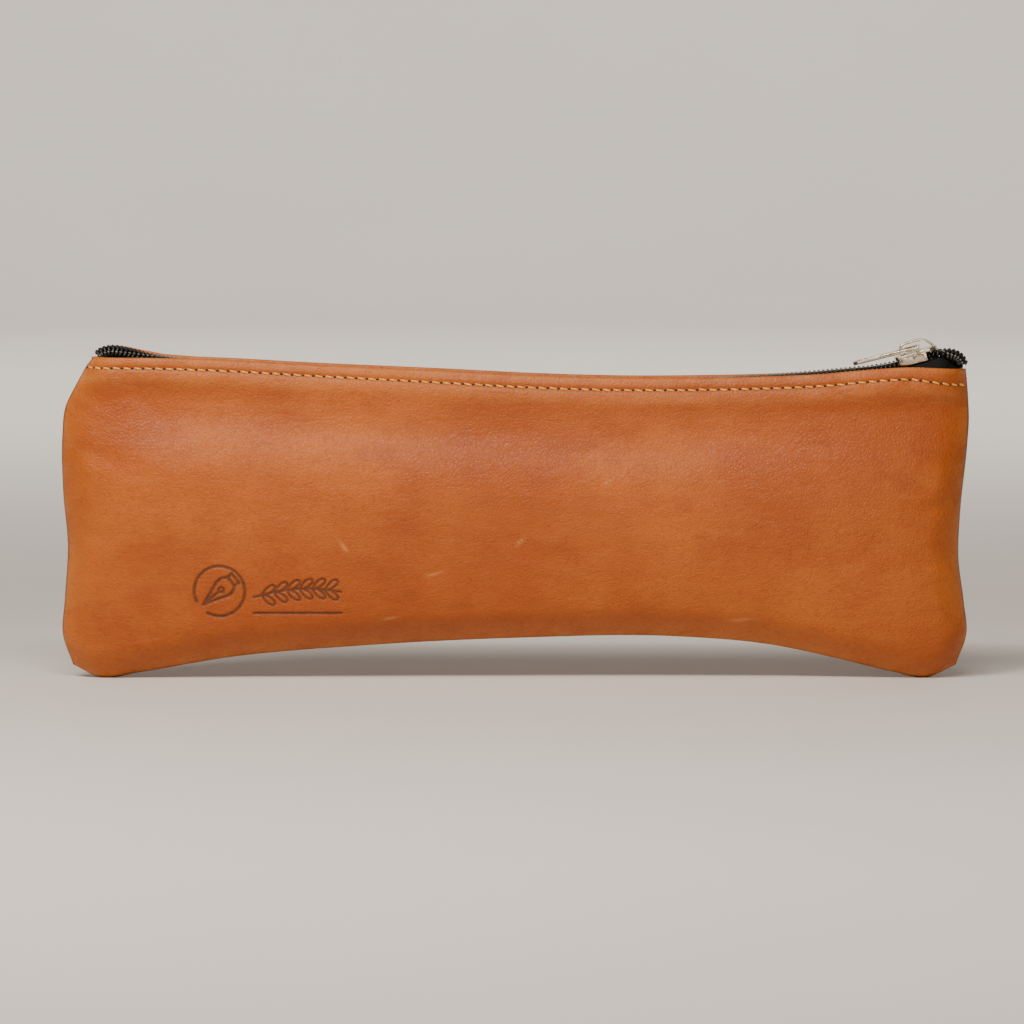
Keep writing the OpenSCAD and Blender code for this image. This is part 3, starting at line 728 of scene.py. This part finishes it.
def add_topstitch(side):
    """Row of two-ply stitches along the mouth, each sunk into the leather at both ends."""
    line = hem_line(side)
    run = run_along(line)
    count = int(run[-1] // STITCH_PITCH)
    start = (run[-1] - (count - 1) * STITCH_PITCH) / 2
    sides = 10
    f = np.linspace(-1, 1, 13)
    rng = np.random.default_rng(11 if side == "front" else 12)
    paths, holes = [], []
    for k in range(count):
        mid = start + k * STITCH_PITCH + rng.normal(0, 0.03)
        p = at_run(line, run, mid + f * (STITCH_PITCH * 0.335))
        p[:, 1] -= 0.3 * (1 - np.abs(f) ** 4) - 0.16
        p[:, 2] += -0.16 * f + rng.normal(0, 0.03)
        paths.append(p)
        holes.append(at_run(line, run, start + (k - 0.5) * STITCH_PITCH))
    angle = np.arange(sides) * 2 * math.pi / sides
    ply = 1 + 0.13 * np.cos(2 * (angle[None] + f[:, None] * 3.4))
    radii = (0.24 * (0.5 + 0.5 * np.sqrt(1 - f**4)))[:, None] * ply
    add_sewn(side, "topstitch_thread", "topstitch", "yellow_thread", yellow,
             *tubes(np.array(paths), np.array([0, 1.0, 0]), radii[None], sides))
    add_needle_hole_shades(side, holes)


def add_seam_thread(side):
    """The seam's hidden stitches, as the CAD has them."""
    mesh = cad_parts[side + "_seam_stitching"].data.copy()
    seam = bpy.data.objects.new(side + "_seam_thread", mesh)
    bpy.context.scene.collection.objects.link(seam)
    seam.data.materials.clear()
    seam.data.materials.append(yellow)
    place(seam, side + "_seam_stitching", side + "_half")


for side in ("front", "back"):
    add_topstitch(side)
    add_seam_thread(side)


# ---------------------------------------------------------------- zip

zip_curve = smooth_line(ZIP_LINE, 24)
zip_run = run_along(zip_curve)
zip_tan = np.gradient(zip_curve, axis=0)
zip_tan /= np.linalg.norm(zip_tan, axis=1, keepdims=True)
LOOPS = int((zip_run[-1] - 0.9) / COIL_PITCH)


def zip_frame(s):
    """Middle of the front row, the way out along its tape and the way up, at run s."""
    x, z = (np.interp(s, zip_run, zip_curve[:, k]) for k in range(2))
    tx, tz = (np.interp(s, zip_run, zip_tan[:, k]) for k in range(2))
    roll = np.radians(np.interp(x, *zip(*ZIP_ROLL)))[..., None]
    part = np.interp(x, *zip(*ZIP_PART))
    up = np.stack([-tz, 0 * tx, tx], -1)
    out = np.broadcast_to([0.0, -1.0, 0.0], up.shape)
    at = np.stack([x, -part, z], -1) - 1.5 * np.sin(roll) * [0, 1, 0]
    return at, np.cos(roll) * out - np.sin(roll) * up, np.cos(roll) * up + np.sin(roll) * out


def on_zip(s, w, h):
    """Places at run s, w out along the tape and h above the row's middle."""
    at, out, up = zip_frame(s)
    return at + (w + 0 * s)[..., None] * out + (h + 0 * s)[..., None] * up


def add_coil(side):
    """Wound filament: flat-sided loops whose heads reach between the loops of the other row."""
    turn = np.linspace(0, LOOPS, LOOPS * 20 + 1)
    theta = 2 * math.pi * (turn + (0 if side == "front" else 0.5))
    s = COIL_START + turn * COIL_PITCH
    wave = np.sign(np.cos(theta)) * np.abs(np.cos(theta)) ** 0.8
    lift = np.sign(np.sin(theta)) * np.abs(np.sin(theta)) ** 0.6
    path = on_zip(s + 0.1 * np.sin(theta), COIL_OUT + 1.22 * wave, 0.02 + 0.5 * lift)
    refs = path - on_zip(s, COIL_OUT, 0.02)
    add_sewn(side, "coil", "zip_coil", "zip_coil", nylon, *tubes(path[None], refs[None], 0.41, 8))


def add_filler_cord(side):
    """Cord inside the coil."""
    s = np.linspace(0.5, zip_run[-1] - 0.5, 500)
    _, _, up = zip_frame(s)
    add_sewn(side, "filler_cord", "coil_cord", "zip_tape", tape_cloth,
             *tubes(on_zip(s, 1.3, 0.05)[None], up[None], 0.34, 8))


def add_chain_stitch(side):
    """One stitch over every loop, which holds the coil to the tape."""
    f = np.linspace(-1, 1, 7)
    s = COIL_START + (np.arange(LOOPS)[:, None] + 0.25) * COIL_PITCH + f[None] * 0.3
    path = on_zip(s, 1.62 + 0.1 * f[None], 0.98 + 0.12 * (1 - f[None] ** 2))
    _, out, _ = zip_frame(s)
    radii = 0.14 * (1.05 - 0.4 * f**2)
    add_sewn(side, "chain_stitch", "coil_stitching", "zip_stitching", grey,
             *tubes(path, out, radii[None, :, None], 6))


def add_tape(side):
    """Woven tape: out under the coil, then down inside the leather."""
    s = np.linspace(0.2, zip_run[-1] - 0.2, 1300)
    at, _, _ = zip_frame(s)
    s = s[at[:, 0] > X0 + 0.9]
    at, _, _ = zip_frame(s)
    x, z = at[:, 0].copy(), at[:, 2]
    # where the zip turns down at the right end, the lower part of the tape hardly moves on
    steep = x > X1 - 1.4
    x[steep] = X1 - 1.4 + 0.08 * (s[steep] - s[steep][0])

    def inner(z):
        """Half thickness just inside the leather, at height z."""
        u = 2 * (x - X0) / (X1 - X0) - 1
        drop = np.clip(mouth_z(x) - z, 0, None)
        tall = mouth_z(x) - np.interp(x, bottom_line[:, 0], bottom_line[:, 1])
        outer = half_thickness(u, drop / tall) - valley(x, drop)
        outer = outer * fold((1 - np.abs(u)) * CASE_LONG / 2, SEAM_ROLL)
        return np.maximum(outer - LEATHER - 0.5, 0.3)

    low = np.minimum(z + TAPE_LEVEL, mouth_z(x) - 0.5)
    reach = np.maximum(2.8, np.minimum(4.65, inner(low) - 0.3) - np.interp(x, *zip(*ZIP_PART)))
    path = [on_zip(s, w, TAPE_LEVEL) for w in (0.3, 1.6, 2.7, reach)]
    path += [np.stack([x, -inner(low - fall), low - fall], -1) for fall in (1, 2.5, 4, 7.5)]
    path = np.stack(path, 1)
    face = np.cross(np.gradient(path, axis=0), np.gradient(path, axis=1))
    face /= np.linalg.norm(face, axis=-1, keepdims=True)
    half = 0.2
    ripple = (0.05 + 0.17 * ease((x - 103) / 4)) * np.sin(s * 2 * math.pi / COIL_PITCH)
    top, under = path + face * (half + ripple[:, None, None]), path - face * half
    ring = np.concatenate([top, under[:, ::-1]], 1)
    add_sewn(side, "tape", "zip_tape", "zip_tape", tape_cloth,
             ring.reshape(-1, 3), ring_faces(*ring.shape[:2], flip=True))


def add_lining(side):
    """Thin cloth bag half that hangs from the tape."""
    n, m = 110, 44
    inset_u, inset_v = LINING_INSET / CASE_LONG, LINING_INSET / CASE_TALL
    us, vs = np.linspace(0, 1, n + 1), np.linspace(0, 1, m + 1)
    uu, vv = inset_u + (1 - 2 * inset_u) * us, (1 - inset_v) * vs
    g = plane_grid(uu, vv)
    x, z = g[..., 0], g[..., 1]
    u, v = 2 * us[:, None] - 1, vs[None]
    closing = np.sqrt(np.clip(1 - np.abs(u) ** 6, 0, 1)) * np.sqrt(np.clip(1 - v**7, 0, 1))
    t = half_thickness(2 * uu[:, None] - 1, vv[None]) - valley(x, mouth_z(x) - z) - 3.1
    t = t - 0.55 * (1 + soft_noise(x, z, 13, 21 if side == "front" else 25, 0.6)) * ease(v / 0.1)
    y = 0.35 + np.clip(t, 0, None) * closing
    top = np.minimum(mouth_z(x), np.interp(x, zip_curve[:, 0], zip_curve[:, 1])) - 4.2
    z = z - (mouth_z(x) - top) * (1 - v)
    verts = np.stack([x, -y, z], -1).reshape(-1, 3)
    obj = add_sewn(side, "lining_cloth", "lining", "lining_cloth", lining_cloth, verts, grid_faces(n, m))


for side in ("front", "back"):
    add_coil(side)
    add_filler_cord(side)
    add_chain_stitch(side)
    add_tape(side)
    add_lining(side)


# ---------------------------------------------------------------- slider, in its own frame

def plate(loops, thick, bevel, height):
    """Flat plate with holes and rounded edges, centred on height."""
    curve = bpy.data.curves.new("plan", "CURVE")
    curve.dimensions = "2D"
    curve.fill_mode = "BOTH"
    curve.extrude = (thick / 2 - bevel) * MM
    curve.bevel_depth = bevel * MM
    curve.offset = -bevel * MM
    curve.bevel_resolution = 3
    for loop in loops:
        spline = curve.splines.new("POLY")
        spline.points.add(len(loop) - 1)
        for point, (a, b) in zip(spline.points, loop):
            point.co = (a * MM, b * MM, 0, 1)
        spline.use_cyclic_u = True
    holder = bpy.data.objects.new("plan", curve)
    bpy.context.scene.collection.objects.link(holder)
    bpy.context.view_layer.update()
    mesh = bpy.data.meshes.new_from_object(holder.evaluated_get(bpy.context.evaluated_depsgraph_get()))
    verts = np.array([v.co for v in mesh.vertices]) / MM + [0, 0, height]
    faces = [list(p.vertices) for p in mesh.polygons]
    bpy.data.objects.remove(holder)
    bpy.data.curves.remove(curve)
    bpy.data.meshes.remove(mesh)
    return verts, faces


def ribbon(points, width, thick):
    """Strap with rounded edges that follows points [x, z], centred on Y."""
    line = smooth_line(points, 8)
    tan = np.gradient(line, axis=0)
    tan /= np.linalg.norm(tan, axis=1, keepdims=True)
    normal = np.stack([-tan[:, 1], tan[:, 0]], -1)
    sides = 20
    angle = (np.arange(sides) + 0.5) * 2 * math.pi / sides
    c, s = np.cos(angle), np.sin(angle)
    y = np.sign(c) * np.abs(c) ** 0.3 * width / 2
    h = np.sign(s) * np.abs(s) ** 0.5 * thick / 2
    verts = np.stack([line[:, None, 0] + h * normal[:, None, 0], y + 0 * line[:, None, 0],
                      line[:, None, 1] + h * normal[:, None, 1]], -1)
    first, last = range(sides), range((len(line) - 1) * sides, len(line) * sides)
    faces = ring_faces(len(line), sides) + [list(first)[::-1], list(last)]
    return verts.reshape(-1, 3), faces


def rounded(loop, per=5):
    """Closed outline with its corners softened."""
    p = np.array(loop, float)
    out = []
    for k in range(len(p)):
        a, b, c = p[k - 1], p[k], p[(k + 1) % len(p)]
        reach = 0.38 * min(np.linalg.norm(b - a), np.linalg.norm(c - b))
        s, e = b + (a - b) / np.linalg.norm(a - b) * reach, b + (c - b) / np.linalg.norm(c - b) * reach
        for f in np.linspace(0, 1, per):
            out.append(s * (1 - f) ** 2 + 2 * b * f * (1 - f) + e * f * f)
    return out


def flipped(outline):
    """The same outline on the other side of the slider's middle, with its points in reverse."""
    return [(a, -b) for a, b in outline[::-1]]


def in_slider(obj, turn=0.0, about=Vector((0, 0, 0))):
    """Moves obj from the slider's own frame to its parked place, first turned about a point."""
    spot = Matrix.Translation(SLIDER_AT * MM) @ Matrix.Rotation(-TILT, 4, "Y")
    obj.data.transform(spot @ Matrix.Translation(about * MM) @ Matrix.Rotation(turn, 4, "Y"))
    for p in obj.data.polygons:
        p.use_smooth = True
    obj.data.set_sharp_from_angle(angle=math.radians(38))
    return obj


def add_metal(name, parts, node, body, **turned):
    """Nickel piece of the slider, joined from parts in the slider's own frame."""
    obj = in_slider(join(name, parts, nickel), **turned)
    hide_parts(node)
    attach(obj, body)


def add_slider_body():
    """Two plates with rims between them, and the wedge that parts the rows."""
    tail, nose = -5.1, 5.7
    half_plan = [(tail, 2.65), (tail + 0.8, 3.45), (-0.4, 3.45), (1.6, 4.4), (nose - 1.8, 4.4),
                 (nose - 0.5, 3.3), (nose, 1.8)]
    plan = rounded(half_plan + flipped(half_plan))
    window = [(-2.8, 0.75), (-2.0, 0.75), (-2.0, -0.75), (-2.8, -0.75)]
    wall = rounded([(tail + 0.6, 3.45), (-0.4, 3.45), (1.6, 4.4), (2.6, 4.4), (2.6, 3.8), (1.8, 3.8),
                    (-0.2, 2.85), (tail + 0.6, 2.85)], 3)
    post = rounded([(1.4, 0), (3.2, 0.75), (4.6, 0.75), (5, 0), (4.6, -0.75), (3.2, -0.75)], 3)
    parts = [plate([plan, window], 0.85, 0.22, 1.625), plate([plan], 0.85, 0.22, -2.075),
             plate([wall], 2.05, 0.1, 0.27), plate([flipped(wall)], 2.05, 0.1, 0.27),
             plate([post], 3.1, 0.08, -0.225)]
    add_metal("slider_casting", parts, "slider_body", "slider")


def add_slider_crown():
    """Arched strap over the puller's bar."""
    arch = [(-3.12, 1.9), (-3.14, 3.3), (-2.92, 4.1), (-2.3, 4.5), (-0.4, 4.6), (1.5, 4.58),
            (3, 4.12), (4.3, 3.15), (5.15, 1.95)]
    add_metal("slider_crown_strap", [ribbon(arch, 2.6, 0.62)], "slider_crown", "slider")


def add_lock_leaf():
    """Thin spring under the crown, with its prong down through the window."""
    leaf = [(1.9, 3.42), (0, 3.46), (-1.9, 3.45), (-2.35, 3.3), (-2.43, 2.9), (-2.43, 1.2)]
    add_metal("slider_lock_leaf", [ribbon(leaf, 1.0, 0.27)], "slider_lock_spring", "lock_spring")


def add_puller():
    """Thin tab round an eye that its bar closes, with a hole at the free end."""
    half_tab = [(-5.4, -1.05), (-4.8, -1.65), (0.1, -1.65), (0.1, -2.7), (-6.35, -2.7), (-7.8, -2.16),
                (-15.8, -2.16), (-16.8, -1.16)]
    tab = half_tab + flipped(half_tab)
    end_hole = [(-14.4 + 1.1 * math.cos(a), 1.1 * math.sin(a)) for a in np.linspace(0, 2 * math.pi, 33)[:-1]]
    across = np.linspace(-2.7, 2.7, 9)
    bar_path = np.stack([0 * across, across, 0 * across], -1)[None]
    bar_radius = np.array([0.36, 0.44] + 5 * [0.45] + [0.44, 0.36])[None, :, None]
    parts = [plate([tab, end_hole], 0.9, 0.2, 0), tubes(bar_path, np.array([0, 0, 1.0]), bar_radius, 24)]
    add_metal("puller_tab", parts, "puller", "puller", turn=TILT - DROOP, about=PIVOT)


add_slider_body()
add_slider_crown()
add_lock_leaf()
add_puller()


# ---------------------------------------------------------------- stage, light and camera

floor_material = plain_material("studio_floor", (0.62, 0.58, 0.54, 1), (0.66, 0.62, 0.58, 1), 0.7)


def round_cove(floor, bend, top, sides=72):
    """Floor of that radius with a wall all round it, as verts and faces."""
    bends = np.linspace(0.1, math.pi / 2, 14)
    profile = [(1, 0), (floor, 0)]
    profile += [(floor + bend * math.sin(a), bend - bend * math.cos(a)) for a in bends]
    profile += [(floor + bend, top)]
    turn = np.arange(sides) * 2 * math.pi / sides
    verts = [(r * math.cos(a), r * math.sin(a), z - 0.02) for r, z in profile for a in turn]
    return verts, ring_faces(len(profile), sides, flip=True) + [tuple(range(sides))]


stage = mesh_object("studio_floor", *round_cove(1900, 500, 1700), floor_material)


def area_light(name, at, aim, power, size, colour):
    """Soft rectangular light in metres and watts."""
    light = bpy.data.lights.new(name, "AREA")
    light.energy = power
    light.shape = "RECTANGLE"
    light.size, light.size_y = size
    light.color = colour
    obj = bpy.data.objects.new(name, light)
    obj.location = at
    obj.rotation_euler = (Vector(aim) - Vector(at)).to_track_quat("-Z", "Y").to_euler()
    bpy.context.scene.collection.objects.link(obj)


area_light("key", (-0.45, -0.5, 0.78), (0, 0, 0.04), 6.9, (0.4, 0.24), (1, 0.93, 0.83))
area_light("top", (-0.08, -0.42, 0.5), (0, 0, 0.05), 3.4, (0.5, 0.08), (1, 0.94, 0.86))
area_light("fill", (0.25, -1.1, 0.22), (0, 0, 0.03), 2.2, (0.8, 0.4), (1, 0.95, 0.88))
area_light("wall", (0, 0.9, 1.1), (0, 2.4, 0.1), 30, (1.5, 0.6), (1, 0.97, 0.93))
world = bpy.data.worlds.new("studio")
bpy.context.scene.world = world
world.use_nodes = True
world.node_tree.nodes["Background"].inputs[0].default_value = (0.8, 0.76, 0.72, 1)
world.node_tree.nodes["Background"].inputs[1].default_value = 0.3

# seen from straight ahead and a little above
distance, rise = 1.5, math.radians(4.5)
seen_width = 0.256
aim = Vector((-0.0009, 0, 0.0415))
eye_at = aim + distance * Vector((0, -math.cos(rise), math.sin(rise)))
camera = bpy.data.cameras.new("camera")
camera.sensor_width = 36
camera.lens = camera.sensor_width * distance / seen_width
lens = bpy.data.objects.new("camera", camera)
lens.location = eye_at
lens.rotation_euler = (aim - eye_at).to_track_quat("-Z", "Y").to_euler()
bpy.context.scene.collection.objects.link(lens)
bpy.context.scene.camera = lens
